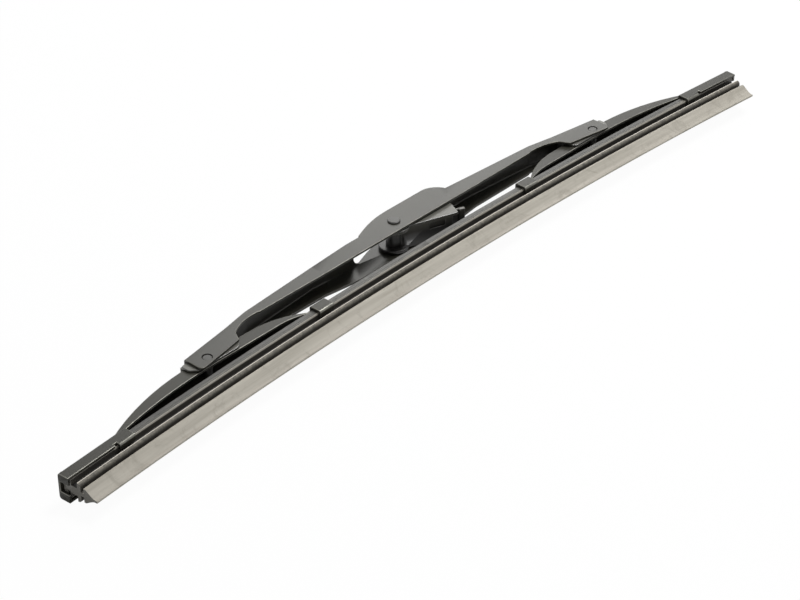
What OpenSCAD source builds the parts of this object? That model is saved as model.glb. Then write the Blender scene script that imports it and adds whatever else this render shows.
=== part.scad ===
// Wiper blade with a pressed-steel bridge, two swinging yokes and a rubber refill, lying on its side.
// X runs along the blade, -Y points towards the wiping lip, +Z is the blade's width.
// The pieces are drawn about the middle of the lip, and blade_frame() sets them down on the floor.

/* [Blade] */
// Length of the wiping rubber
rubber_length = 360; // [330:1:400]
// How far each end cap reaches past the rubber
cap_overhang = 1.2; // [1:0.1:3]
// Radius of the unloaded bow of the blade
bow_radius = 2200; // [1500:50:4000]
// Thickness of the bridge's steel
bridge_steel = 1.0; // [0.8:0.1:1.2]
// Thickness of the yokes' steel
yoke_steel = 0.9; // [0.7:0.1:1.0]

/* [Wiping rubber] */
// Thickness of the lip's wiping edge
lip_t = 0.7; // [0.4:0.1:1.2]
// Width of the lip body where it is thickest
bell_w = 5.5; // [4:0.1:6.5]
// Height of the lip body
bell_h = 6.0; // [5:0.1:7]
// Thickness of the web that the lip tilts on
hinge_w = 1.5; // [1:0.1:2]
// Height of that web
hinge_h = 1.6; // [1.2:0.1:2]
// Width of the shoulder over the hinge web
shoulder_w = 8.3; // [7:0.1:9]
// Thickness of the shoulder
shoulder_t = 1.45; // [1:0.05:1.8]
// Height of the groove that the claws reach into
claw_groove = 2.6; // [2.4:0.1:3]
// Width of the stem inside that groove
stem_w = 3.2; // [2.4:0.1:4]
// Width of the pad under the flexor strips
pad_w = 4.6; // [4:0.1:5.5]
// Thickness of the pad under the flexor strips
pad_t = 0.45; // [0.3:0.05:0.6]
// Width of the head above the flexor strips
head_w = 7.8; // [6.5:0.1:8.1]
// Height of the head above the flexor strips
head_h = 1.8; // [1.5:0.05:2]

/* [Flexor strips] */
// Width of each flexor strip
flexor_w = 2.9; // [2.5:0.1:3.2]
// Thickness of each flexor strip
flexor_t = 0.85; // [0.6:0.05:1]
// How far each strip ends short of the rubber's end
flexor_short = 4; // [1:0.5:12]

/* [Yokes] */
// Outer width of the end caps and claws
claw_w = 10.3; // [10.1:0.1:11]
// Outer width of the arched part
leaf_w = 6.4; // [5.8:0.1:6.6]
// Distance from the end of the cap to the outer claw's middle
cap_reach = 26.8; // [22:0.2:32]
// Distance from the pivot to the outer claw's middle
outer_span = 48.2; // [44:0.2:52]
// Distance from the pivot to the inner claw's middle
inner_span = 49.8; // [46:0.2:54]
// Length of each claw along the blade
claw_length = 7.2; // [5:0.2:8]
// Height of the arch's back above the lip at the pivot
leaf_back_y = 21.8; // [21:0.1:22.2]
// Height of the arch's front above the lip at the pivot
leaf_front_y = 16.6; // [16:0.1:17]
// Width of the notch beside the outer claw
notch_w = 1.5; // [1:0.1:2.5]
// Depth of that notch
notch_d = 1.1; // [0.5:0.1:1.5]
// Length of the tabs folded over the cap's end
end_tab = 3.2; // [2:0.1:4]

/* [Bridge] */
// Height of the yoke pivots above the lip
pivot_y = 19.2; // [19:0.1:19.6]
// Reach of the bridge past the yoke pivots
bridge_tip = 6.2; // [5:0.1:7]
// Outer width over the middle
bridge_mid_w = 12.7; // [12.5:0.1:13.5]
// Outer width at the ends
bridge_end_w = 10.4; // [10.3:0.1:11]
// Height of the back over the lip beside the hump
bridge_back_y = 32.6; // [32:0.1:33.5]
// Height of the side walls' near edge over the lip
bridge_near_y = 24.2; // [23.8:0.1:24.8]
// Height of the hump's crest over the lip
hump_y = 37; // [36:0.1:38]
// Height of the end plates' near edge over the lip
end_near_y = 15.1; // [14.8:0.1:15.4]

/* [Pins and adapter clip] */
// Diameter of the centre rivet's shank
rivet_d = 4.0; // [3:0.1:4.4]
// Diameter of the centre rivet's heads
rivet_head_d = 4.9; // [4.7:0.1:6]
// Height of the centre rivet's heads
rivet_head_h = 0.7; // [0.4:0.1:1]
// Height of the centre rivet above the lip
rivet_y = 29.8; // [29.4:0.1:30.2]
// Diameter of the yoke pivot pins
pin_d = 3.4; // [2.6:0.1:3.8]
// Depth of the pins' ends under the bridge's outer face
pin_recess = 0.2; // [0.1:0.05:0.5]
// Outer diameter of the clip's hub
hub_d = 6.2; // [5.6:0.1:7]
// Diameter of the round discs at the hub's ends
disc_d = 11.7; // [10:0.1:12.2]
// Outer width of the clip
clip_w = 9.6; // [9.2:0.1:9.8]
// Thickness of the clip's side cheeks
cheek_t = 1.2; // [1:0.1:1.6]
// Thickness of the clip's front wall
clip_wall = 1.3; // [1:0.1:1.6]
// Angle that the clip hangs out of the bridge by
clip_angle = 20; // [17:0.5:20]
// Reach of the clip's cheeks from the rivet
clip_reach = 25.7; // [24:0.1:27]
// Distance of the clip's front face from the rivet's axis
clip_front = 3.4; // [3:0.05:3.6]
// Thickness of the liners between the bridge and the yokes
liner_t = 0.85; // [0.6:0.05:0.9]

/* [Fits] */
// Clearance of a turning part on its pin, on the radius
run_fit = 0.05; // [0.03:0.01:0.08]
// Side clearance between parts that slide on each other
side_fit = 0.08; // [0.05:0.01:0.15]
// Clearance of a fixed pin in its hole, on the radius
pin_fit = 0.02; // [0.01:0.01:0.04]

/* [Hidden] */

// Colours
c_steel = [0.11, 0.11, 0.11];
c_plastic = [0.07, 0.07, 0.07];
c_pin = [0.3, 0.3, 0.3];
c_flexor = [0.62, 0.62, 0.6];
c_rubber = [0.55, 0.54, 0.5];

// Heights of the rubber's steps above the lip edge
shoulder_y = bell_h + hinge_h;
groove_y = shoulder_y + shoulder_t;
flexor_y = groove_y + claw_groove + pad_t;
head_y = flexor_y + flexor_t;
head_top_y = head_y + head_h;
lip_land = 1.2;
bell_land = 0.9;
flexor_out = head_w / 2 + 0.1;
flexor_length = rubber_length - 2 * flexor_short;
slot_fit = 0.05;
sweep_fn = 720;

// Claw and cap section, measured from the lip edge
claw_in = claw_w / 2 - yoke_steel;
web_y = head_top_y + 0.35;
cap_back_y = web_y + yoke_steel;
claw_tab_y = groove_y + 1.4;
cap_front_y = claw_tab_y + yoke_steel;
claw_mouth = 5.4;
bend_out = 1.1;
bend_in = 0.3;
cap_end = rubber_length / 2 + cap_overhang;
outer_claw_x = cap_end - cap_reach;
pivot_x = outer_claw_x - outer_span;
inner_claw_x = pivot_x - inner_span;
claw_end = outer_claw_x + claw_length / 2;
leaf_in = leaf_w / 2 - yoke_steel;
inner_arc_x = pivot_x - 22.2;
outer_arc_x = pivot_x + 4.8;
back_arc_in = 39;
back_arc_out = 103;
front_in_x = pivot_x - 32.2;
front_out_x = pivot_x - 2.2;
front_arc_in = 30;
front_arc_out = 215;

// Bridge outline
bridge_end = pivot_x + bridge_tip;
flat_x = 24;
taper_x = 42;
knee_x = bridge_end - 34.4;
knee_y = bridge_back_y - 2.55;
shin_x = bridge_end - 22.4;
shin_y = bridge_back_y - 4.85;
end_back_y = bridge_back_y - 8.25;
tongue_x = bridge_end + 2.2;
tongue_w = 5.4;
arch_r = 21;
arch_top_y = 26;
arch_end_x = bridge_end - 23.2;
plate_x = bridge_end - 21;
plate_y = end_near_y + 3.6;
step_x = bridge_end - 37.7;
hump_left = -16.5;
hump_right = 31.2;
window_left = -20.1;
window_right = 33.5;
window_corner = 4;
bend_cut = 0.55 * bridge_steel;
bend_fill = 0.55 * bridge_steel;
mid_in = bridge_mid_w / 2 - bridge_steel;
end_in = bridge_end_w / 2 - bridge_steel;

// Clip
clip_half = clip_w / 2;
rest_z = bridge_mid_w / 2 + rivet_head_h;

// Middle of the whole blade's reach in Y
lip_end_y = bow_radius * (cos(rubber_length / 2 / bow_radius * 180 / PI) - 1);
middle_y = (hump_y + lip_end_y) / 2;

// Points of a rounded corner at b between the edges from a and to c
function unit(v) = v / norm(v);
function corner(a, b, c, radius, n = 5) =
    let (u = unit(a - b), w = unit(c - b), half = acos(max(-1, min(1, u * w))) / 2,
         r = min(radius, 0.98 * min(norm(a - b), norm(c - b)) * tan(half)), d = r / tan(half), m = b + unit(u + w) * r / sin(half), p = b + u * d, q = b + w * d,
         s = atan2((p - m)[1], (p - m)[0]), t = atan2((q - m)[1], (q - m)[0]),
         turn = t - s > 180 ? t - s - 360 : (t - s < -180 ? t - s + 360 : t - s))
    [for (i = [0:n]) m + r * [cos(s + turn * i / n), sin(s + turn * i / n)]];

// Outline from points [x, y, corner radius]
function xy(p) = [p[0], p[1]];
function rounded(pts) = let (n = len(pts)) [for (i = [0:n - 1])
    each (pts[i][2] > 0 ? corner(xy(pts[(i + n - 1) % n]), xy(pts[i]), xy(pts[(i + 1) % n]), pts[i][2])
                        : [xy(pts[i])])];

// Drop of an arc of radius r at distance d from its crest
function drop(r, d) = r - sqrt(r * r - d * d);

// Drop of the bow at a distance from the blade's centre
function bow(x) = drop(bow_radius, x);

// Sets the drawn blade down on the floor, its middle over the origin
module blade_frame() {
    translate([0, -middle_y, rest_z]) children();
}

// Places a piece square to the bow at distance x from the blade's centre
module on_bow(x) {
    translate([0, -bow_radius, 0])
        rotate([0, 0, -asin(x / bow_radius)])
            translate([0, bow_radius, 0]) children();
}

// Sweeps a section [height above the lip, width] along the bow
module bow_sweep(length) {
    angle = length / bow_radius * 180 / PI;
    translate([0, -bow_radius, 0])
        rotate([0, 0, 90 - angle / 2])
            rotate_extrude(angle = angle, $fn = sweep_fn)
                translate([bow_radius, 0]) children();
}

// Extrudes a section [height above the lip, width] along X, centred
module along_x(length) {
    translate([-length / 2, 0, 0]) rotate([90, 0, 90]) linear_extrude(length) children();
}

/* Wiping rubber and flexor strips */
function flank(i, n = 6) =
    let (f = i / n, y = lip_land + (bell_h - bell_land - lip_land) * f)
    [y, lip_t / 2 + 0.1 + (bell_w / 2 - lip_t / 2 - 0.1) * pow(f, 1.25)];

rubber_half = concat(
    [[0, lip_t / 2], [lip_land, lip_t / 2 + 0.1]],
    [for (i = [1:6]) flank(i)],
    [[bell_h, bell_w / 2], [bell_h, hinge_w / 2], [shoulder_y, hinge_w / 2],
     [shoulder_y, shoulder_w / 2], [groove_y, shoulder_w / 2 - 0.1], [groove_y, stem_w / 2],
     [flexor_y - pad_t, stem_w / 2], [flexor_y - pad_t, pad_w / 2], [flexor_y - slot_fit, pad_w / 2],
     [flexor_y - slot_fit, flexor_out - flexor_w - slot_fit],
     [head_y + slot_fit, flexor_out - flexor_w - slot_fit],
     [head_y + slot_fit, head_w / 2], [head_top_y - 0.4, head_w / 2], [head_top_y, head_w / 2 - 0.4]]);

module wiping_rubber() {
    color(c_rubber) blade_frame() bow_sweep(rubber_length)
        polygon(concat(rubber_half, [for (i = [len(rubber_half) - 1:-1:0])
            [rubber_half[i][0], -rubber_half[i][1]]]));
}

module flexor(side) {
    color(c_flexor) blade_frame() bow_sweep(flexor_length)
        translate([flexor_y, side * (flexor_out - flexor_w / 2) - flexor_w / 2])
            square([flexor_t, flexor_w]);
}

/* Yokes */
leaf_inner_end = inner_claw_x * (1 + web_y / bow_radius) - claw_length / 2 + 0.2;
leaf_outer_end = outer_claw_x * (1 + web_y / bow_radius) + claw_length / 2 - 0.2;

// Distance from an arc's crest at which a back edge at top_y meets the cap's back
function meet(r, top_y, x0, side) =
    let (d = sqrt(r * r - pow(r - (top_y - cap_back_y + bow(x0 + side * r / 2.5)), 2))) d;
back_in_x = inner_arc_x - meet(back_arc_in, leaf_back_y, inner_arc_x, -1);
back_out_x = outer_arc_x + meet(back_arc_out, leaf_back_y, outer_arc_x, 1);
front_in_end = back_in_x;
front_out_end = claw_end - claw_length;

// Side view of the arched part, moved down by the given amount
function leaf_outline(down) = [
    [leaf_inner_end, cap_back_y - bow(leaf_inner_end) - down],
    for (i = [0:6]) let (x = back_in_x + (inner_arc_x - back_in_x) * i / 6)
        [x, leaf_back_y - drop(back_arc_in, inner_arc_x - x) - down],
    for (i = [0:9]) let (x = outer_arc_x + (back_out_x - outer_arc_x) * i / 9)
        [x, leaf_back_y - drop(back_arc_out, x - outer_arc_x) - down],
    [leaf_outer_end, cap_back_y - bow(leaf_outer_end) - down]];

function clear_y(x) = web_y - bow(x) + 0.1;
function leaf_front() = [
    [leaf_outer_end, clear_y(leaf_outer_end)],
    for (i = [8:-1:0]) let (x = front_out_x + (front_out_end - front_out_x) * i / 8)
        [x, max(clear_y(x), leaf_front_y - drop(front_arc_out, x - front_out_x))],
    for (i = [4:-1:0]) let (x = front_in_end + (front_in_x - front_in_end) * i / 4)
        [x, max(clear_y(x), leaf_front_y - drop(front_arc_in, front_in_x - x))],
    [leaf_inner_end, clear_y(leaf_inner_end)]];

module leaf() {
    difference() {
        translate([0, 0, -leaf_w / 2]) linear_extrude(leaf_w)
            polygon(concat(leaf_outline(0), leaf_front()));
        translate([0, 0, -leaf_in]) linear_extrude(2 * leaf_in)
            polygon(concat(leaf_outline(yoke_steel), [[leaf_outer_end, 0], [leaf_inner_end, 0]]));
    }
}

// Section of a claw: a channel whose tabs close in over the flexor strips
module claw_section() {
    h = claw_w / 2;
    difference() {
        polygon(rounded([[claw_tab_y, -h, bend_out], [cap_back_y, -h, bend_out],
                         [cap_back_y, h, bend_out], [claw_tab_y, h, bend_out]]));
        polygon(rounded([[cap_front_y, -claw_in, bend_in], [web_y, -claw_in, bend_in],
                         [web_y, claw_in, bend_in], [cap_front_y, claw_in, bend_in]]));
        translate([claw_tab_y - 1, -claw_mouth / 2]) square([yoke_steel + 1.5, claw_mouth]);
    }
}

// Section of the cap: the same channel with an open front
module cap_section() {
    h = claw_w / 2;
    difference() {
        polygon(rounded([[cap_front_y - 0.2, -h, 0], [cap_back_y, -h, bend_out],
                         [cap_back_y, h, bend_out], [cap_front_y - 0.2, h, 0]]));
        polygon(rounded([[0, -claw_in, 0], [web_y, -claw_in, bend_in],
                         [web_y, claw_in, bend_in], [0, claw_in, 0]]));
    }
}

// End of the cap: each side's strip is folded over the opening
module end_tabs() {
    h = claw_w / 2;
    for (s = [-1, 1])
        translate([0, cap_back_y - 0.5, 0]) rotate([90, 0, 0])
            linear_extrude(cap_back_y - cap_front_y - 0.4)
                scale([1, s]) polygon(rounded([[-0.5, h, 0], [yoke_steel, h, 0.85],
                    [yoke_steel, h - end_tab, 0], [0, h - end_tab, 0],
                    [0, h - yoke_steel, bend_in], [-0.5, h - yoke_steel, 0]]));
}

module yoke() {
    cap_length = cap_end - claw_end + claw_length;
    cap_middle = (cap_end + claw_end - claw_length) / 2;
    difference() {
        union() {
            leaf();
            on_bow(inner_claw_x) along_x(claw_length) claw_section();
            on_bow(outer_claw_x) along_x(claw_length) claw_section();
            on_bow(cap_middle) {
                along_x(cap_length) cap_section();
                translate([cap_length / 2 - yoke_steel, 0, 0]) end_tabs();
            }
        }
        on_bow(claw_end + notch_w / 2)
            translate([-notch_w / 2, cap_front_y - 1, -claw_w])
                cube([notch_w, 0.8 + notch_d, 2 * claw_w]);
        translate([pivot_x, pivot_y, -leaf_w])
            cylinder(h = 2 * leaf_w, d = pin_d + 2 * run_fit, $fn = 64);
    }
}

module yoke_right() {
    color(c_steel) blade_frame() yoke();
}

module yoke_left() {
    color(c_steel) blade_frame() mirror([1, 0, 0]) yoke();
}

/* Bridge */
back_table = [[0, bridge_back_y], [taper_x, bridge_back_y], [knee_x, knee_y], [shin_x, shin_y],
              [bridge_end, end_back_y],
              [tongue_x, end_back_y - (shin_y - end_back_y) * 2.2 / 22.4]];
width_table = [[0, mid_in], [flat_x, mid_in], [taper_x, end_in], [bridge_end, end_in]];
function back_y(x) = lookup(abs(x), back_table);
function half_in(x) = lookup(abs(x), width_table);
function bend_point(x, s) = [x, back_y(x), s * (half_in(x) + bridge_steel)];
function inner_point(x, s) = [x, back_y(x) - bridge_steel, s * half_in(x)];

// Near edge of one side, from the middle out to the tip: wall, step, arch and end plate
function arch_point(a) = [knee_x + arch_r * cos(a), arch_top_y - arch_r * (1 - sin(a))];
near_edge = concat(
    [[flat_x, bridge_near_y], [taper_x, bridge_near_y + 1.15],
     [step_x, bridge_near_y + 1.4], [step_x + 0.4, arch_top_y]],
    [for (a = [90:-5:65]) arch_point(a)],
    corner(arch_point(62), [arch_end_x, arch_top_y - 3.25], [plate_x, plate_y], 1.2),
    [[plate_x, plate_y]],
    corner([plate_x, plate_y], [bridge_end, end_near_y], [bridge_end, end_back_y], 1.6));

// Back edge of the side walls, with the hump over the rivet
wall_back = concat(
    [for (x = [bridge_end, shin_x, knee_x, taper_x, hump_right]) [x, back_y(x)]],
    corner([hump_right, back_y(hump_right)], [hump_right - 2.7, hump_y], [-4.5, hump_y], 9),
    corner([hump_right - 2.7, hump_y], [-4.5, hump_y], [hump_left, back_y(hump_left)], 45),
    [for (x = [hump_left, -taper_x, -knee_x, -shin_x, -bridge_end]) [x, back_y(x)]]);

module wall_outline() {
    polygon(concat(wall_back,
        [for (i = [len(near_edge) - 1:-1:0]) [-near_edge[i][0], near_edge[i][1]]],
        near_edge));
}

// Plan of the bridge seen along Y, as wide as its inside plus the given amount
module plan(extra) {
    xs = [-bridge_end, -taper_x, -flat_x, flat_x, taper_x, bridge_end];
    rotate([90, 0, 0]) translate([0, 0, -60]) linear_extrude(60)
        polygon(concat([for (x = xs) [x, -half_in(x) - extra]],
                       [for (i = [5:-1:0]) [xs[i], half_in(xs[i]) + extra]]));
}

module bridge_walls() {
    difference() {
        intersection() {
            translate([0, 0, -20]) linear_extrude(40) wall_outline();
            plan(bridge_steel);
        }
        plan(0);
    }
}

// Side view of the web between two of its bends
module web_slab(xs, width) {
    n = len(xs);
    translate([0, 0, -width / 2]) linear_extrude(width)
        polygon(concat([for (x = xs) [x, back_y(x)]],
                       [for (i = [n - 1:-1:0]) [xs[i], back_y(xs[i]) - bridge_steel]]));
}

// The web, with the window that the wiper arm reaches through
module bridge_web() {
    xs = [-bridge_end, -shin_x, -knee_x, -taper_x, taper_x, knee_x, shin_x, bridge_end];
    difference() {
        intersection() {
            web_slab(xs, 40);
            plan(0.01);
        }
        rotate([90, 0, 0]) translate([0, 0, -60]) linear_extrude(60)
            polygon(rounded([[window_left, -mid_in - 0.02, window_corner],
                             [window_right, -mid_in - 0.02, window_corner],
                             [window_right, mid_in + 0.02, window_corner],
                             [window_left, mid_in + 0.02, window_corner]]));
    }
    for (s = [-1, 1])
        web_slab([s * (bridge_end - 1), s * tongue_x], tongue_w);
}

// Places a piece along one of the bends: X from p to q, Z out through the bend's corner
module along_bend(p, q, s) {
    u = unit(q - p);
    n = unit([0, 1, s] - ([0, 1, s] * u) * u);
    w = cross(n, u);
    multmatrix([[u[0], w[0], n[0], p[0]], [u[1], w[1], n[1], p[1]], [u[2], w[2], n[2], p[2]],
                [0, 0, 0, 1]])
        children();
}

// Cuts the sharp outer edge off the bends
module outer_bends() {
    right = [hump_right, taper_x, knee_x, shin_x, bridge_end];
    left = [hump_left, -flat_x, -taper_x, -knee_x, -shin_x, -bridge_end];
    for (s = [-1, 1], side = [right, left], i = [0:len(side) - 2]) {
        p = bend_point(side[i], s);
        q = bend_point(side[i + 1], s);
        along_bend(p, q, s) translate([0, -5, -bend_cut]) cube([norm(q - p) + 0.5, 10, 5]);
    }
}

// Fills the bends' inner corners, between the window and the end plates
module inner_bends() {
    run = [window_right + 1, taper_x, knee_x, shin_x];
    for (s = [-1, 1], side = [-1, 1], i = [0:len(run) - 2]) {
        p = inner_point(side * run[i], s);
        q = inner_point(side * run[i + 1], s);
        along_bend(p, q, s) translate([-0.1, 0, 0]) rotate([90, 0, 90]) linear_extrude(norm(q - p) + 0.2)
            polygon([[-bend_fill - 0.2, -bend_fill], [bend_fill + 0.2, -bend_fill], [0, 0.2]]);
    }
}

module primary_bridge() {
    color(c_steel) blade_frame() difference() {
        union() {
            bridge_walls();
            bridge_web();
            inner_bends();
        }
        outer_bends();
        translate([0, rivet_y, -20]) cylinder(h = 40, d = rivet_d + 2 * pin_fit, $fn = 64);
        for (s = [-1, 1])
            translate([s * pivot_x, pivot_y, -20])
                cylinder(h = 40, d = pin_d + 2 * pin_fit, $fn = 64);
    }
}

/* Rivet, pins and liners */
module centre_rivet() {
    h = bridge_mid_w / 2;
    r = rivet_head_d / 2;
    color(c_steel) blade_frame() translate([0, rivet_y, 0]) rotate_extrude($fn = 64)
        polygon([[0, -h - rivet_head_h], [r - 0.35, -h - rivet_head_h], [r, -h - rivet_head_h + 0.3],
                 [r, -h], [rivet_d / 2, -h], [rivet_d / 2, h], [r, h], [r, h + rivet_head_h - 0.3],
                 [r - 0.35, h + rivet_head_h], [0, h + rivet_head_h]]);
}

module pivot_pin(side) {
    h = half_in(pivot_x) + bridge_steel - pin_recess;
    r = pin_d / 2;
    color(c_pin) blade_frame() translate([side * pivot_x, pivot_y, 0]) rotate_extrude($fn = 64)
        polygon([[0, -h], [r - 0.2, -h], [r, -h + 0.2], [r, h - 0.2], [r - 0.2, h], [0, h]]);
}

// U-shaped plastic liner that keeps the yoke from rubbing on the bridge, flush with the yoke's front
module liner() {
    inside = leaf_w / 2 + side_fit;
    outside = inside + liner_t;
    nose = bridge_end + 2.7;
    tail = plate_x + 0.6;
    near = leaf_front_y + 0.1;
    back_gap = bridge_steel + 0.1;
    difference() {
        translate([0, 0, -outside]) linear_extrude(2 * outside)
            polygon(rounded([[tail, near + 1.4, 1], [tail + 1.6, near, 1], [bridge_end, near, 2],
                             [nose, near + 2.4, 2], [nose, end_back_y - back_gap - 0.5, 0.8],
                             [bridge_end, end_back_y - back_gap, 0],
                             [tail, back_y(tail) - back_gap, 0.8]]));
        translate([0, 0, -inside]) linear_extrude(2 * inside)
            polygon([[tail - 5, 0], [nose + 5, 0], [nose + 5, leaf_back_y + 0.5],
                     [tail - 5, leaf_back_y + 1]]);
        translate([pivot_x, pivot_y, -20]) cylinder(h = 40, d = pin_d + 2 * pin_fit, $fn = 64);
    }
}

module liner_right() {
    color(c_plastic) blade_frame() liner();
}

module liner_left() {
    color(c_plastic) blade_frame() mirror([1, 0, 0]) liner();
}

/* Adapter clip, drawn level and then turned on the rivet */
front_y = -clip_front;
end_h = 8.9;

module cheek() {
    linear_extrude(cheek_t) union() {
        circle(d = disc_d, $fn = 96);
        polygon(rounded([[0, front_y, 0], [clip_reach, front_y, 0.5],
                         [clip_reach + 0.8, front_y + end_h, 0.8], [0, disc_d / 2 - 0.05, 0]]));
    }
}

module adapter_clip() {
    tab_w = 2 * (clip_half - 0.9);
    color(c_plastic) blade_frame() translate([0, rivet_y, 0]) rotate([0, 0, -clip_angle])
        difference() {
            union() {
                for (s = [0, 1]) mirror([0, 0, s]) translate([0, 0, clip_half - cheek_t]) cheek();
                translate([0, 0, -clip_half]) cylinder(h = clip_w, d = hub_d, $fn = 64);
                translate([1, front_y, -clip_half + 0.2])
                    cube([clip_reach - 3.3, clip_wall, clip_w - 0.4]);
                translate([clip_reach - 5.7, front_y, -tab_w / 2]) linear_extrude(tab_w)
                    polygon(rounded([[0, 0.9, 0], [2.9, 0.9, 0], [3.2, 3.2, 0], [7.6, 3.2, 0],
                                     [7.6, 2.6, 0.2], [10.1, 2.6, 0.3], [10.1, 4, 0.5], [0, 3.9, 0]]));
            }
            translate([0, 0, -20]) cylinder(h = 40, d = rivet_d + 2 * run_fit, $fn = 64);
            translate([13.5, front_y - 1, 0.6]) cube([6.5, 1.6, 2.6]);
        }
}

primary_bridge();
centre_rivet();
adapter_clip();
liner_left();
liner_right();
pivot_pin(-1);  // pivot_pin_left
pivot_pin(1);  // pivot_pin_right
yoke_left();
yoke_right();
flexor(1);  // flexor_upper
flexor(-1);  // flexor_lower
wiping_rubber();
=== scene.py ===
"""The wiper blade, dressed for its picture: painted pressed steel, plastic, spring steel and rubber."""
import math

import bmesh
import bpy
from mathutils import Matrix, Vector


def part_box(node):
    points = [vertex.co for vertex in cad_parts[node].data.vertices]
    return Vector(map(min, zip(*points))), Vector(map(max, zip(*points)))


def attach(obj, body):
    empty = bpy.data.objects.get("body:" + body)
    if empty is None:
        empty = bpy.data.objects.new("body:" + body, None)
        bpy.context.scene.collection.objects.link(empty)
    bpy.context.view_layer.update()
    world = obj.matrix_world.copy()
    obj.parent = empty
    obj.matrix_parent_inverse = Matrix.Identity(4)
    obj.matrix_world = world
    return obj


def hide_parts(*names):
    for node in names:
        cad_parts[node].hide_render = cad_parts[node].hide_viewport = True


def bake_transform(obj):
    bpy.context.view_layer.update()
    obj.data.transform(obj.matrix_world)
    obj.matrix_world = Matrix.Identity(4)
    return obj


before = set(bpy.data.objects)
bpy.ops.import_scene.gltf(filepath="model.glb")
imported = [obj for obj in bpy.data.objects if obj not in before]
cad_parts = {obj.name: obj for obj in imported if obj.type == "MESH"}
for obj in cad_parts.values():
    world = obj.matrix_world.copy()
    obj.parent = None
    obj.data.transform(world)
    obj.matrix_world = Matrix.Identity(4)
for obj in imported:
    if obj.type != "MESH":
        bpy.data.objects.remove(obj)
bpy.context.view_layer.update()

MM = 0.001
# The blade is drawn about the middle of its lip, as on the drawing board, and these set it down.
LIP_Y = -14.8196 * MM
MID_Z = 7.05 * MM
# Unloaded, the rubber and its strips follow a bow of this radius.
BOW_R = 2200 * MM
RUBBER_HALF = 180 * MM
STRIP_HALF = 176 * MM
# One step of the sweep along the bow
BOW_STEP = 4 * MM
# The strips' own map runs from 0 to 1 over this length along the bow, and over this height above the lip.
MAP_LENGTH = 400 * MM
MAP_HEIGHT = 15 * MM

# The pivot pins stand along z at these places. An edge within reach of one belongs to its hole.
PIN_BOXES = (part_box("pivot_pin_left"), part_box("pivot_pin_right"))
PIN_PLACES = [((Vector(low) + Vector(high)) / 2).xy for low, high in PIN_BOXES]
PIN_REACH = 2 * MM

# Radii of the rolled edges
PRESSED_ROLL = 0.25 * MM
CLIP_ROLL = 0.25 * MM
LINER_ROLL = 0.2 * MM
RIVET_ROLL = 0.15 * MM
PIN_ROLL = 0.3 * MM
RUBBER_ROLL = 0.08 * MM
STRIP_ROLL = 0.07 * MM
SEAM_WIDTH = 0.25 * MM
# Points nearer to each other than this are one point.
WELD = 0.002 * MM

# Material slots: a piece's own, its rolled edges', and one for a special place
BASE, EDGE, SPECIAL = 0, 1, 2

# Edges keep the worn material only above these heights: the bridge's upper half, and the band just under the
# clip's top.
BRIDGE_WEAR = 7 * MM
CLIP_WEAR = 0.7 * MM
# The pins' rims that show are above this height.
UPPER_WALL = 10 * MM
# The claws' outer bends end this far above the lip, and in this stretch their paint is rubbed through to
# near-white metal, which is also a painted highlight.
CLAW_BEND_TOP = 11.6 * MM
RUBBED_AND_HIGHLIGHTED = (-153 * MM, -130 * MM)

# The camera is turned this far round the blade and looks this far down, through a long lens.
CAMERA_TURN = math.radians(47.747)
CAMERA_DOWN = math.radians(34.005)
CAMERA_PLACE = (-0.5250, -0.46502, 0.45775)
CAMERA_LENS = 101.17

FLOOR_SIZE = 8
LAMP_SIZE = 0.5

BLACK, WHITE = "#000000", "#ffffff"
# A Mix node's colour sockets go by number, because their names repeat.
RGBA = {"data_type": "RGBA"}
MIX_A, MIX_B, MIXED = 6, 7, 2


def on_bow(along, height, z):
    """A place on the bow: metres along it, then millimetres above the lip and off the middle plane."""
    turn = along / BOW_R
    reach = BOW_R + height * MM
    return Vector((reach * math.sin(turn), reach * math.cos(turn) - BOW_R + LIP_Y, z * MM + MID_Z))


# ---- Camera
def add_facing(name, data, place, ahead):
    """A camera or lamp, set down at a place and looking along ahead."""
    made = bpy.data.objects.new(name, data)
    made.location = place
    made.rotation_mode = "QUATERNION"
    made.rotation_quaternion = ahead.to_track_quat("-Z", "Y")
    bpy.context.scene.collection.objects.link(made)
    return made


def make_camera():
    data = bpy.data.cameras.new("photo_camera")
    data.lens, data.sensor_width = CAMERA_LENS, 36.0
    data.clip_start, data.clip_end = 0.05, 20
    flat = math.cos(CAMERA_DOWN)
    ahead = Vector((math.sin(CAMERA_TURN) * flat, math.cos(CAMERA_TURN) * flat, -math.sin(CAMERA_DOWN)))
    bpy.context.scene.camera = add_facing("photo_camera", data, CAMERA_PLACE, ahead)


make_camera()


# ---- Materials
def colour(hex_value):
    """An sRGB hex colour as linear red, green, blue and alpha."""
    parts = [int(hex_value[i:i + 2], 16) / 255 for i in (1, 3, 5)]
    return tuple(c / 12.92 if c <= 0.04045 else ((c + 0.055) / 1.055) ** 2.4 for c in parts) + (1.0,)


def node(tree, kind, settings=None, links=None):
    """One shader node with its settings and its inputs, each a value or a (node, output) link.

    The stops among a ramp's settings are (position, hex colour) pairs.
    """
    made = tree.nodes.new(kind)
    settings = dict(settings or {})
    for i, (place, shade) in enumerate(settings.pop("stops", ())):
        stop = made.color_ramp.elements[i] if i < 2 else made.color_ramp.elements.new(place)
        stop.position, stop.color = place, colour(shade)
    for key, value in settings.items():
        setattr(made, key, value)
    for socket, value in (links or {}).items():
        target = made.inputs[socket]
        if isinstance(value, tuple) and len(value) == 2 and isinstance(value[0], bpy.types.Node):
            tree.links.new(value[0].outputs[value[1]], target)
        else:
            target.default_value = value
    return made


def new_material(name):
    material = bpy.data.materials.new(name)
    material.use_nodes = True
    material.node_tree.nodes.clear()
    return material, material.node_tree


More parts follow.
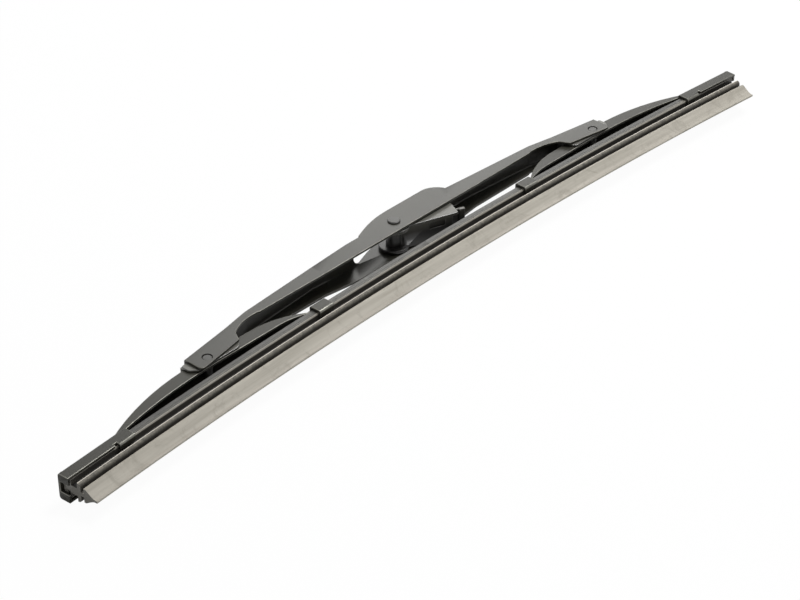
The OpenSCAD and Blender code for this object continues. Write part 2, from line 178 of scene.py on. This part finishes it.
def strip_places(tree):
    """Two nodes that place a pattern on a bent strip: its own map, and metres along, up and across it."""
    laid = node(tree, "ShaderNodeUVMap", {"uv_map": "along_the_bow"})
    flat = node(tree, "ShaderNodeMapping", links={
        "Vector": (laid, "UV"), "Scale": (MAP_LENGTH, MAP_HEIGHT, 0)})
    place = node(tree, "ShaderNodeTexCoord")
    # Bending leaves z as it is.
    across = node(tree, "ShaderNodeVectorMath", {"operation": "MULTIPLY"}, {
        0: (place, "Object"), 1: (0, 0, 1)})
    metres = node(tree, "ShaderNodeVectorMath", {"operation": "ADD"}, {
        0: (flat, "Vector"), 1: (across, "Vector")})
    return laid, metres


def painted_steel(name, rough, gloss):
    """Pressed steel under satin black powder coat: fine orange peel and a soft sheen, duller on the yokes."""
    material, tree = new_material(name)
    place = node(tree, "ShaderNodeTexCoord")
    # Orange peel 0.7 mm across, and a drift of tone over 17 mm
    peel = node(tree, "ShaderNodeTexNoise", links={
        "Vector": (place, "Object"), "Scale": 1500, "Detail": 3, "Roughness": 0.6})
    drift = node(tree, "ShaderNodeTexNoise", links={"Vector": (place, "Object"), "Scale": 60, "Detail": 2})
    tone = node(tree, "ShaderNodeValToRGB", {"stops": [(0.3, "#25241d"), (0.7, "#2b2a23")]}, {
        "Fac": (drift, "Fac")})
    bump = node(tree, "ShaderNodeBump", links={
        "Height": (peel, "Fac"), "Strength": 0.12, "Distance": 0.1 * MM})
    shader = node(tree, "ShaderNodeBsdfPrincipled", links={
        "Base Color": (tone, "Color"), "Roughness": rough, "Specular IOR Level": gloss,
        "Normal": (bump, "Normal")})
    node(tree, "ShaderNodeOutputMaterial", links={"Surface": (shader, "BSDF")})
    return material


def rubbed_paint(name, dark, light):
    """The same paint on the rolled edges, worn thin by handling: the steel shows through and glints."""
    material, tree = new_material(name)
    place = node(tree, "ShaderNodeTexCoord")
    # Worn patches 3 mm long
    wear = node(tree, "ShaderNodeTexNoise", links={
        "Vector": (place, "Object"), "Scale": 350, "Detail": 3, "Roughness": 0.7})
    tone = node(tree, "ShaderNodeValToRGB", {"stops": [(0.3, dark), (0.7, light)]}, {"Fac": (wear, "Fac")})
    shader = node(tree, "ShaderNodeBsdfPrincipled", links={
        "Base Color": (tone, "Color"), "Metallic": 0.85, "Roughness": 0.4})
    node(tree, "ShaderNodeOutputMaterial", links={"Surface": (shader, "BSDF")})
    return material


def black_acetal():
    """Injection-moulded acetal with a spark-eroded grain, coloured by height: painted light on top, painted
    shade low round the hub.
    """
    material, tree = new_material("moulded_black_acetal")
    place = node(tree, "ShaderNodeTexCoord")
    # The real grain is finer than 0.1 mm, and it is drawn 0.4 mm coarse so that it shows.
    grain = node(tree, "ShaderNodeTexNoise", links={"Vector": (place, "Object"), "Scale": 2500, "Detail": 2})
    bump = node(tree, "ShaderNodeBump", links={
        "Height": (grain, "Fac"), "Strength": 0.1, "Distance": 0.1 * MM})
    # Painted light and shade: the colour runs from dark at 7 mm up to light at 11 mm.
    parts = node(tree, "ShaderNodeSeparateXYZ", links={"Vector": (place, "Object")})
    height = node(tree, "ShaderNodeMapRange", links={
        "Value": (parts, "Z"), "From Min": 7 * MM, "From Max": 11 * MM})
    tone = node(tree, "ShaderNodeValToRGB", {"stops": [(0.0, "#181715"), (1.0, "#5b5a54")]}, {
        "Fac": (height, "Result")})
    shader = node(tree, "ShaderNodeBsdfPrincipled", links={
        "Base Color": (tone, "Color"), "Roughness": 0.36, "Specular IOR Level": 0.5,
        "Normal": (bump, "Normal")})
    node(tree, "ShaderNodeOutputMaterial", links={"Surface": (shader, "BSDF")})
    return material


def polished_acetal():
    """Acetal on the moulding's edges, rubbed bright by the arm's hook and by fingers."""
    material, tree = new_material("acetal_edge_rubbed_bright")
    place = node(tree, "ShaderNodeTexCoord")
    # Rubbed patches 2 mm long
    wear = node(tree, "ShaderNodeTexNoise", links={"Vector": (place, "Object"), "Scale": 500, "Detail": 2})
    rough = node(tree, "ShaderNodeMapRange", links={"Value": (wear, "Fac"), "To Min": 0.2, "To Max": 0.32})
    shader = node(tree, "ShaderNodeBsdfPrincipled", links={
        "Base Color": colour("#3a3935"), "Roughness": (rough, "Result"), "Specular IOR Level": 0.8,
        "Coat Weight": 0.4, "Coat Roughness": 0.2})
    node(tree, "ShaderNodeOutputMaterial", links={"Surface": (shader, "BSDF")})
    return material


def spring_steel():
    """Rolled spring strip, blackened: long rolling lines, a dull face and pale smears of dust."""
    material, tree = new_material("blackened_rolled_spring_strip")
    _, metres = strip_places(tree)
    # Rolling lines 22 mm long and 0.4 mm apart
    along = node(tree, "ShaderNodeMapping", links={"Vector": (metres, "Vector"), "Scale": (15, 900, 900)})
    lines = node(tree, "ShaderNodeTexNoise", links={"Vector": (along, "Vector"), "Scale": 3, "Detail": 3})
    tone = node(tree, "ShaderNodeValToRGB", {"stops": [(0.3, "#312f29"), (0.7, "#403e37")]}, {
        "Fac": (lines, "Fac")})
    # Smears 29 mm long and 8 mm wide
    wiped = node(tree, "ShaderNodeMapping", links={"Vector": (metres, "Vector"), "Scale": (35, 120, 120)})
    smears = node(tree, "ShaderNodeTexNoise", links={
        "Vector": (wiped, "Vector"), "Scale": 1.0, "Detail": 4, "Roughness": 0.6, "Distortion": 0.8})
    dusty = node(tree, "ShaderNodeValToRGB", {"stops": [(0.5, BLACK), (0.64, "#a0a0a0")]}, {
        "Fac": (smears, "Fac")})
    dusted = node(tree, "ShaderNodeMix", RGBA, {
        "Factor": (dusty, "Color"), MIX_A: (tone, "Color"), MIX_B: colour("#7b776b")})
    shader = node(tree, "ShaderNodeBsdfPrincipled", links={"Base Color": (dusted, MIXED), "Roughness": 0.42})
    node(tree, "ShaderNodeOutputMaterial", links={"Surface": (shader, "BSDF")})
    return material


def pin_steel():
    """Turned steel pin, painted over with the bridge."""
    material, tree = new_material("painted_turned_steel")
    place = node(tree, "ShaderNodeTexCoord")
    # Orange peel 0.6 mm across
    peel = node(tree, "ShaderNodeTexNoise", links={"Vector": (place, "Object"), "Scale": 1800, "Detail": 2})
    bump = node(tree, "ShaderNodeBump", links={
        "Height": (peel, "Fac"), "Strength": 0.1, "Distance": 0.1 * MM})
    shader = node(tree, "ShaderNodeBsdfPrincipled", links={
        "Base Color": colour("#2f2e2b"), "Roughness": 0.38, "Normal": (bump, "Normal")})
    node(tree, "ShaderNodeOutputMaterial", links={"Surface": (shader, "BSDF")})
    return material


def painted_gap_shade():
    """Painted shade of the narrow gap round a pin: matt and almost black."""
    material, tree = new_material("painted_shade_of_gap_round_pin")
    place = node(tree, "ShaderNodeTexCoord")
    # Specks of grime 0.5 mm across
    grime = node(tree, "ShaderNodeTexNoise", links={"Vector": (place, "Object"), "Scale": 2000, "Detail": 2})
    tone = node(tree, "ShaderNodeValToRGB", {"stops": [(0.3, "#0d0c0b"), (0.7, "#191816")]}, {
        "Fac": (grime, "Fac")})
    shader = node(tree, "ShaderNodeBsdfPrincipled", links={
        "Base Color": (tone, "Color"), "Roughness": 0.8, "Specular IOR Level": 0.1})
    node(tree, "ShaderNodeOutputMaterial", links={"Surface": (shader, "BSDF")})
    return material


def band(start, full, end=1.0, gone=None):
    """Stops of a mask up the rubber's section: black to start, white from full to end, and black from gone.

    The heights are shares of MAP_HEIGHT.
    """
    stops = [(0.0, BLACK), (start, BLACK), (full, WHITE), (end, WHITE)]
    return stops + [(gone, BLACK)] if gone else stops


def dusted_rubber():
    """Black natural rubber: the lip is chlorinated and rubbed with graphite, pale and streaky."""
    material, tree = new_material("graphite_rubbed_natural_rubber")
    laid, metres = strip_places(tree)
    height = node(tree, "ShaderNodeSeparateXYZ", links={"Vector": (laid, "UV")})

    # The lip: graphite streaks 40 mm long and 2 mm wide, under stains 9 mm across
    along = node(tree, "ShaderNodeMapping", links={"Vector": (metres, "Vector"), "Scale": (25, 500, 500)})
    streaks = node(tree, "ShaderNodeTexNoise", links={
        "Vector": (along, "Vector"), "Scale": 1.0, "Detail": 4, "Roughness": 0.6})
    streaked = node(tree, "ShaderNodeValToRGB", {"stops": [(0.3, "#959085"), (0.7, "#ada89d")]}, {
        "Fac": (streaks, "Fac")})
    stains = node(tree, "ShaderNodeTexNoise", links={
        "Vector": (metres, "Vector"), "Scale": 110, "Detail": 5, "Roughness": 0.7, "Distortion": 1.2})
    stained = node(tree, "ShaderNodeValToRGB", {"stops": [(0.53, BLACK), (0.68, "#a4a4a4")]}, {
        "Fac": (stains, "Fac")})
    pale = node(tree, "ShaderNodeMix", RGBA, {
        "Factor": (stained, "Color"), MIX_A: (streaked, "Color"), MIX_B: colour("#736e63")})

    # Above it: the shoulder with specks 1.5 mm across, and the wiped head with the lip's smears
    speckle = node(tree, "ShaderNodeTexNoise", links={
        "Vector": (metres, "Vector"), "Scale": 650, "Detail": 4, "Roughness": 0.75})
    dark = node(tree, "ShaderNodeValToRGB", {"stops": [(0.35, "#36332d"), (0.62, "#746f63")]}, {
        "Fac": (speckle, "Fac")})
    wiped = node(tree, "ShaderNodeValToRGB", {"stops": [(0.3, "#262522"), (0.7, "#33322e")]}, {
        "Fac": (streaks, "Fac")})
    smear = node(tree, "ShaderNodeMix", RGBA, {
        "Factor": (stained, "Color"), MIX_A: (wiped, "Color"), MIX_B: colour("#62605a")})
    head = node(tree, "ShaderNodeValToRGB", {"stops": band(0.74, 0.75)}, {"Fac": (height, "Y")})
    upper = node(tree, "ShaderNodeMix", RGBA, {
        "Factor": (head, "Color"), MIX_A: (dark, "Color"), MIX_B: (smear, MIXED)})

    # Then what lies in between, one over the other: the groove that the claws run in, painted shade in the
    # tuck under the shoulder, a painted highlight along the shoulder's crest, and the pad under the strips
    # Painted shade under the shoulder, fading out up the crown
    shade_under_shoulder = [(0.0, "#e8e8e8"), (0.484, "#e8e8e8"), (0.53, BLACK), (1.0, BLACK)]
    for stops, shade in (
            (band(0.588, 0.592, 0.764, 0.768), "#1b1a18"),
            (shade_under_shoulder, "#1d1b18"),
            # A painted highlight along the shoulder's crest
            (band(0.556, 0.57, 0.586, 0.588), "#ccc6bb"),
            (band(0.764, 0.768, 0.803, 0.808), "#8c887e")):
        mask = node(tree, "ShaderNodeValToRGB", {"stops": stops}, {"Fac": (height, "Y")})
        upper = node(tree, "ShaderNodeMix", RGBA, {
            "Factor": (mask, "Color"), MIX_A: (upper, MIXED), MIX_B: colour(shade)})
    above_lip = node(tree, "ShaderNodeValToRGB", {"stops": band(0.43, 0.432)}, {"Fac": (height, "Y")})
    tone = node(tree, "ShaderNodeMix", RGBA, {
        "Factor": (above_lip, "Color"), MIX_A: (pale, MIXED), MIX_B: (upper, MIXED)})

    # The cut ends were never dusted.
    centred = node(tree, "ShaderNodeMath", {"operation": "SUBTRACT"}, {0: (height, "X"), 1: 0.5})
    reach = node(tree, "ShaderNodeMath", {"operation": "ABSOLUTE"}, {0: (centred, "Value")})
    cut = node(tree, "ShaderNodeMath", {"operation": "GREATER_THAN"}, {
        0: (reach, "Value"), 1: (RUBBER_HALF - 0.05 * MM) / MAP_LENGTH})
    ended = node(tree, "ShaderNodeMix", RGBA, {
        "Factor": (cut, "Value"), MIX_A: (tone, MIXED), MIX_B: colour("#686660")})
    satin = node(tree, "ShaderNodeMapRange", links={"Value": (head, "Color"), "To Min": 0.65, "To Max": 0.4})
    shader = node(tree, "ShaderNodeBsdfPrincipled", links={
        "Base Color": (ended, MIXED), "Roughness": (satin, "Result")})
    node(tree, "ShaderNodeOutputMaterial", links={"Surface": (shader, "BSDF")})
    return material


PAINT = painted_steel("satin_black_powder_coat_on_bridge", 0.38, 0.5)
YOKE_PAINT = painted_steel("satin_black_powder_coat_on_yokes", 0.42, 0.36)
PAINT_EDGE = rubbed_paint("powder_coat_rubbed_thin_on_bridge_edge", "#4a4944", "#71706a")
YOKE_EDGE = rubbed_paint("powder_coat_rubbed_thin_on_yoke_edge", "#5d5c57", "#76756e")
# Near-white worn metal on the claw bends: partly rubbed-through paint, partly a painted highlight
CLAW_RUB_AND_HIGHLIGHT = rubbed_paint("powder_coat_rubbed_through_on_claw_bend", "#bab8b1", "#cac8c0")
ACETAL = black_acetal()
ACETAL_EDGE = polished_acetal()
STRIP = spring_steel()
PIN = pin_steel()
GAP_SHADE = painted_gap_shade()
RUBBER = dusted_rubber()


def dress(piece, *materials):
    """The first material all over, and the others ready in the slots after it."""
    piece.data.materials.clear()
    for material in materials:
        piece.data.materials.append(material)


# ---- Modelling
def pick_only(piece):
    bpy.ops.object.select_all(action="DESELECT")
    piece.select_set(True)
    bpy.context.view_layer.objects.active = piece


def copy_of(source, name):
    """A second object with a mesh of its own."""
    piece = source.copy()
    piece.data = source.data.copy()
    piece.name = piece.data.name = name
    bpy.context.scene.collection.objects.link(piece)
    pick_only(piece)
    return piece


def edges_to_pick(piece):
    """The mesh being edited, with nothing selected and edges next."""
    bpy.ops.mesh.select_mode(type="EDGE")
    bpy.ops.mesh.select_all(action="DESELECT")
    return bmesh.from_edit_mesh(piece.data)


def near_pin(vertex):
    return any((vertex.co.xy - hole).length < PIN_REACH for hole in PIN_PLACES)


def select_rollable(piece, radius, sharp):
    """Selects the outward edges sharper than so many degrees, but none at tight corners or pins' holes."""
    mesh = edges_to_pick(piece)
    limit = math.radians(sharp)
    corner = math.radians(35)
    edges = {e for e in mesh.edges if len(e.link_faces) == 2 and e.calc_face_angle(0) > limit}

    def is_corner(vertex):
        meeting = [e for e in vertex.link_edges if e in edges]
        if len(meeting) != 2:
            return True
        before = vertex.co - meeting[0].other_vert(vertex).co
        after = meeting[1].other_vert(vertex).co - vertex.co
        return before.angle(after) > corner

    # A pin's own rims are rolled. Edges much shorter than the radius can't be.
    tight = set() if "pin" in piece.name else {v for v in mesh.verts if near_pin(v)}
    for edge in edges:
        if edge.calc_length() < 0.8 * radius and any(is_corner(v) for v in edge.verts):
            tight.update(edge.verts)
    for edge in edges:
        if edge.is_convex and not tight.intersection(edge.verts):
            edge.select = True
    bmesh.update_edit_mesh(piece.data)


def smooth_shading(piece):
    """Smooth over the rolled edges, with the flat faces left looking flat."""
    piece.data.normals_split_custom_set([(0, 0, 0)] * len(piece.data.loops))
    bpy.ops.object.shade_smooth_by_angle(angle=math.radians(50))
    weigh = piece.modifiers.new("flat_faces_stay_flat", "WEIGHTED_NORMAL")
    weigh.keep_sharp = True
    bpy.ops.object.modifier_apply(modifier=weigh.name)


def round_edges(piece, radius, sharp=50, segments=3, edge_slot=-1):
    """Rolls the outward edges, into the given material slot if there is one, and shades the piece smooth."""
    pick_only(piece)
    bpy.ops.object.mode_set(mode="EDIT")
    select_rollable(piece, radius, sharp)
    bpy.ops.mesh.bevel(offset_type="OFFSET", offset=radius, segments=segments, affect="EDGES",
                       clamp_overlap=False, miter_outer="ARC", material=edge_slot)
    bpy.ops.mesh.select_mode(type="VERT")
    bpy.ops.object.mode_set(mode="OBJECT")
    smooth_shading(piece)


def rounded_copy(name, body, radius, *materials):
    """The CAD solid with its loose triangles merged to plain faces and its edges rolled."""
    piece = copy_of(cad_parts[name], name + "_rolled")
    dress(piece, *materials)
    bpy.ops.object.mode_set(mode="EDIT")
    bpy.ops.mesh.select_all(action="SELECT")
    bpy.ops.mesh.remove_doubles(threshold=WELD)
    bpy.ops.mesh.dissolve_limited(angle_limit=math.radians(0.5))
    bpy.ops.object.mode_set(mode="OBJECT")
    round_edges(piece, radius, edge_slot=EDGE)
    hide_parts(name)
    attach(piece, body)
    return piece


def wear_above(piece, height):
    """Only the edges above this height keep the worn material."""
    for face in piece.data.polygons:
        if face.center.z < height and face.material_index == EDGE:
            face.material_index = BASE


def seam_round_pins(bridge):
    """A narrow chamfer round each pin on the upper wall, carrying the painted shade of the gap it stands for.
    """
    pick_only(bridge)
    bpy.ops.object.mode_set(mode="EDIT")
    mesh = edges_to_pick(bridge)
    for edge in mesh.edges:
        rim = any(f.normal.z > 0.9 and f.calc_center_median().z > UPPER_WALL for f in edge.link_faces)
        turns = len(edge.link_faces) == 2 and edge.calc_face_angle(0) > 1
        edge.select = rim and turns and any(near_pin(v) for v in edge.verts)
    bmesh.update_edit_mesh(bridge.data)
    bpy.ops.mesh.bevel(offset_type="OFFSET", offset=SEAM_WIDTH, segments=1, affect="EDGES",
                       clamp_overlap=False, material=SPECIAL)
    bpy.ops.mesh.select_mode(type="VERT")
    bpy.ops.object.mode_set(mode="OBJECT")
    smooth_shading(bridge)


def rub_claw_bends(piece):
    """The claws' outer bends ride on the rubber's shoulder: their paint is rubbed, and in one stretch rubbed
    through to near-white metal that is also a painted highlight.
    """
    start, end = RUBBED_AND_HIGHLIGHTED
    # These faces turn towards the lip and outwards, but aren't the claws' ends.
    for face in piece.data.polygons:
        place, normal = face.center, face.normal
        low = place.y < LIP_Y + CLAW_BEND_TOP - place.x ** 2 / (2 * BOW_R)
        if low and normal.y < -0.2 and abs(normal.z) > 0.2 and abs(normal.x) < 0.3:
            face.material_index = SPECIAL if start < place.x < end else EDGE


def drawn_outline(name, points):
    """A closed flat outline, drawn by extruding one point to the next, then filled."""
    bpy.ops.object.select_all(action="DESELECT")
    bpy.ops.mesh.primitive_plane_add(size=MM)
    piece = bpy.context.object
    piece.name = piece.data.name = name
    bpy.ops.object.mode_set(mode="EDIT")
    bpy.ops.mesh.merge(type="CENTER")
    bpy.ops.transform.translate(value=points[0])
    for here, there in zip(points, points[1:] + points[:1]):
        bpy.ops.mesh.extrude_region_move(TRANSFORM_OT_translate={"value": there - here})
    bpy.ops.mesh.select_all(action="SELECT")
    bpy.ops.mesh.remove_doubles(threshold=2.5 * WELD)
    bpy.ops.mesh.edge_face_add()
    return piece


def bow_strip(name, half, section, radius):
    """A section, as [height, z] pairs in millimetres, swept along the bow from end to end."""
    piece = drawn_outline(name, [on_bow(-half, height, z) for height, z in section])
    steps = round(2 * half / BOW_STEP)
    bpy.ops.mesh.spin(
        steps=steps, angle=2 * half / BOW_R, center=(0, LIP_Y - BOW_R, MID_Z), axis=(0, 0, 1))
    bpy.ops.mesh.select_all(action="SELECT")
    bpy.ops.mesh.remove_doubles(threshold=WELD)
    bpy.ops.mesh.normals_make_consistent(inside=False)
    bpy.ops.object.mode_set(mode="OBJECT")
    round_edges(piece, radius, sharp=30, segments=2)
    return piece


def lay_out(piece):
    """Maps the strip along its bow and up from its lip, so that its colours stay on it when it bends."""
    places = piece.data.uv_layers.new(name="along_the_bow").data
    for loop in piece.data.loops:
        x, y, _ = piece.data.vertices[loop.vertex_index].co
        up = y - LIP_Y + BOW_R
        along, height = math.atan2(x, up) * BOW_R, math.hypot(x, up) - BOW_R
        places[loop.index].uv = (0.5 + along / MAP_LENGTH, height / MAP_HEIGHT)


def halves(whole, node_name, material):
    """Cuts a strip at the middle into a left and a right half, which take the CAD part's place."""
    lay_out(whole)
    for side, yoke in ((-1, "yoke_left"), (1, "yoke_right")):
        half = copy_of(whole, whole.name + ("_left" if side < 0 else "_right"))
        bpy.ops.object.mode_set(mode="EDIT")
        bpy.ops.mesh.select_all(action="SELECT")
        bpy.ops.mesh.bisect(plane_co=(0, 0, 0), plane_no=(-side, 0, 0), use_fill=True, clear_outer=True)
        bpy.ops.object.mode_set(mode="OBJECT")
        bpy.ops.object.shade_smooth_by_angle(angle=math.radians(40))
        dress(half, material)
        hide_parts(node_name)
        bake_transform(half)
    bpy.data.objects.remove(whole)


# ---- Pressed steel
bridge = rounded_copy("primary_bridge", "bridge", PRESSED_ROLL, PAINT, PAINT_EDGE, GAP_SHADE)
wear_above(bridge, BRIDGE_WEAR)
seam_round_pins(bridge)
for name in ("yoke_left", "yoke_right"):
    rub_claw_bends(rounded_copy(name, name, PRESSED_ROLL, YOKE_PAINT, YOKE_EDGE, CLAW_RUB_AND_HIGHLIGHT))

# ---- Moulded plastic
clip = rounded_copy("adapter_clip", "clip", CLIP_ROLL, ACETAL, ACETAL_EDGE)
# Corner 1 of its box is at its top.
wear_above(clip, clip.bound_box[1][2] - CLIP_WEAR)
for name in ("liner_left", "liner_right"):
    rounded_copy(name, "bridge", LINER_ROLL, ACETAL, ACETAL_EDGE)

# ---- Rivet and pins
rounded_copy("centre_rivet", "bridge", RIVET_ROLL, PIN, PIN)
for name in ("pivot_pin_left", "pivot_pin_right"):
    # The pins' rolled rims carry the painted shade of the gap as well
    rounded_copy(name, "bridge", PIN_ROLL, PIN, GAP_SHADE)


# ---- Rubber and strips
def rubber_section():
    """Lip, flank, hinge web, shoulder, claw groove, pad, strip slots and head, on one side then the other."""
    flank = [(1.2 + 3.9 * f, 0.45 + 2.3 * f ** 1.25) for f in (i / 6 for i in range(1, 7))]
    turns = [math.radians(a) for a in range(0, 91, 15)]
    crown = [(8.55 - 1.3 * math.cos(t), 2.45 + 1.3 * math.sin(t)) for t in turns]
    lip = [(0.02, 0.3), (0.15, 0.42), (1.2, 0.45)]
    web = [(6.0, 2.75), (6.0, 0.75), (7.25, 0.75)]
    groove = [(8.8, 3.75), (8.8, 1.6), (11.45, 1.6)]
    pad = [(11.45, 3.45), (11.8, 3.95), (12.05, 3.95)]
    head = [(12.05, 1.05), (13.0, 1.05), (13.0, 4.0), (14.5, 4.0), (14.75, 3.8)]
    side = lip + flank + web + crown + groove + pad + head
    return side + [(height, -z) for height, z in reversed(side)]


rubber = bow_strip("wiping_rubber_drawn", RUBBER_HALF, rubber_section(), RUBBER_ROLL)
halves(rubber, "wiping_rubber", RUBBER)
for name, side in (("flexor_upper", 1), ("flexor_lower", -1)):
    corners = ((12.07, 1.1), (12.98, 1.1), (12.98, 3.98), (12.07, 3.98))
    section = [(height, side * z) for height, z in corners]
    halves(bow_strip(name + "_rolled", STRIP_HALF, section, STRIP_ROLL), name, STRIP)


# ---- Floor, world and lamps
def make_floor():
    """White paper, which stays plain white to the eye and keeps a trace of shadow."""
    bpy.ops.object.select_all(action="DESELECT")
    bpy.ops.mesh.primitive_plane_add(size=FLOOR_SIZE, location=(0, 0, 0))
    floor = bpy.context.object
    floor.name = "floor"
    material, tree = new_material("white_paper")
    paper = node(tree, "ShaderNodeBsdfDiffuse", links={"Color": colour("#efefef")})
    white = node(tree, "ShaderNodeEmission", links={"Color": colour(WHITE), "Strength": 1.0})
    rays = node(tree, "ShaderNodeLightPath")
    # Most of what the eye sees is plain white, and the rest keeps the shadow. Reflections keep more of it.
    mirrored = node(tree, "ShaderNodeMath", {"operation": "MULTIPLY"}, {0: (rays, "Is Glossy Ray"), 1: 0.12})
    share = node(tree, "ShaderNodeMath", {"operation": "MULTIPLY_ADD", "use_clamp": True}, {
        0: (rays, "Is Camera Ray"), 1: 0.96, 2: (mirrored, "Value")})
    mix = node(tree, "ShaderNodeMixShader", links={
        0: (share, "Value"), 1: (paper, "BSDF"), 2: (white, "Emission")})
    node(tree, "ShaderNodeOutputMaterial", links={"Surface": (mix, "Shader")})
    dress(floor, material)


def make_world():
    """A white room: bright to the eye and in reflections, and dim as a source of light."""
    world = bpy.data.worlds.new("white_room")
    bpy.context.scene.world = world
    world.use_nodes = True
    tree = world.node_tree
    tree.nodes.clear()
    rays = node(tree, "ShaderNodeLightPath")
    dim = node(tree, "ShaderNodeBackground", links={"Color": colour(WHITE), "Strength": 0.3})
    bright = node(tree, "ShaderNodeBackground", links={"Color": colour(WHITE), "Strength": 1.0})
    seen = node(tree, "ShaderNodeMath", {"operation": "MAXIMUM"}, {
        0: (rays, "Is Camera Ray"), 1: (rays, "Is Glossy Ray")})
    mix = node(tree, "ShaderNodeMixShader", links={
        0: (seen, "Value"), 1: (dim, "Background"), 2: (bright, "Background")})
    node(tree, "ShaderNodeOutputWorld", links={"Surface": (mix, "Shader")})


def area_lamp(name, place, power, tint=WHITE):
    """A square softbox, aimed at the blade in the middle of the floor."""
    data = bpy.data.lights.new(name, "AREA")
    data.color = colour(tint)[:3]
    data.shape, data.size, data.energy = "SQUARE", LAMP_SIZE, power
    add_facing(name, data, place, -Vector(place))


make_floor()
make_world()
area_lamp("back_softbox", (0.83, 0.73, 0.68), 2.65, "#fffefa")
area_lamp("key_light", (0.52, -0.09, 1.17), 14.3)

bpy.context.scene.view_settings.view_transform = "Standard"
